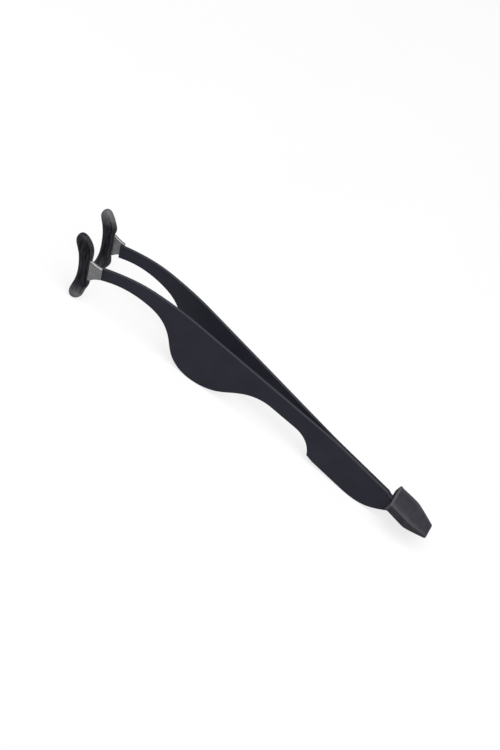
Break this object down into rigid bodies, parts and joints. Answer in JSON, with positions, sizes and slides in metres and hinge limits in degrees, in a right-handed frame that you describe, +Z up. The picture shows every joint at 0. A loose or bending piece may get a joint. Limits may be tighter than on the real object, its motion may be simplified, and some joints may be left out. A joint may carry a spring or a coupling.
{
  "type": "eyelash applicator tweezers",
  "caption": "Sprung sheet-steel tweezers with crescent jaws in soft sleeves for placing false lash strips, and a flat rubber chisel tip on the tail.",
  "frame": {"origin": "on the table under the middle of the tool, standing on its two finger pads and its heel", "axes": "+X from the jaws to the tail, +Y across the two arms, from the near arm to the far arm, +Z up"},
  "size_m": [0.1282, 0.0186, 0.0201],
  "materials": {
    "black_coat": "matt black soft-touch coat on sheet steel",
    "bare_steel": "bare satin steel",
    "sleeve_rubber": "black moulded silicone rubber",
    "tip_rubber": "charcoal moulded rubber"
  },
  "bodies": {
    "tail": {"near_tail_plate": "black_coat", "far_tail_plate": "black_coat", "spot_welds": "bare_steel", "tail_tip": "tip_rubber"},
    "near_arm": {"near_blade": "black_coat", "near_jaw_plate": "bare_steel", "near_jaw_sleeve": "sleeve_rubber"},
    "far_arm": {"far_blade": "black_coat", "far_jaw_plate": "bare_steel", "far_jaw_sleeve": "sleeve_rubber"}
  },
  "joints": [
    {"name": "near_arm_squeeze", "type": "hinge", "parent": "tail", "child": "near_arm", "pos_m": [0.01496, -0.00096, 0.01061], "axis": [-0.1031, 0, -0.9947], "range_deg": [0, 4.9], "stiffness_Nm_per_rad": 0.9},
    {"name": "far_arm_squeeze", "type": "hinge", "parent": "tail", "child": "far_arm", "pos_m": [0.01496, 0.00096, 0.01061], "axis": [0.1031, 0, 0.9947], "range_deg": [0, 4.9], "stiffness_Nm_per_rad": 0.9}
  ],
  "couplings": [
    {"joint": "far_arm_squeeze", "follows": "near_arm_squeeze", "ratio": 1}
  ]
}
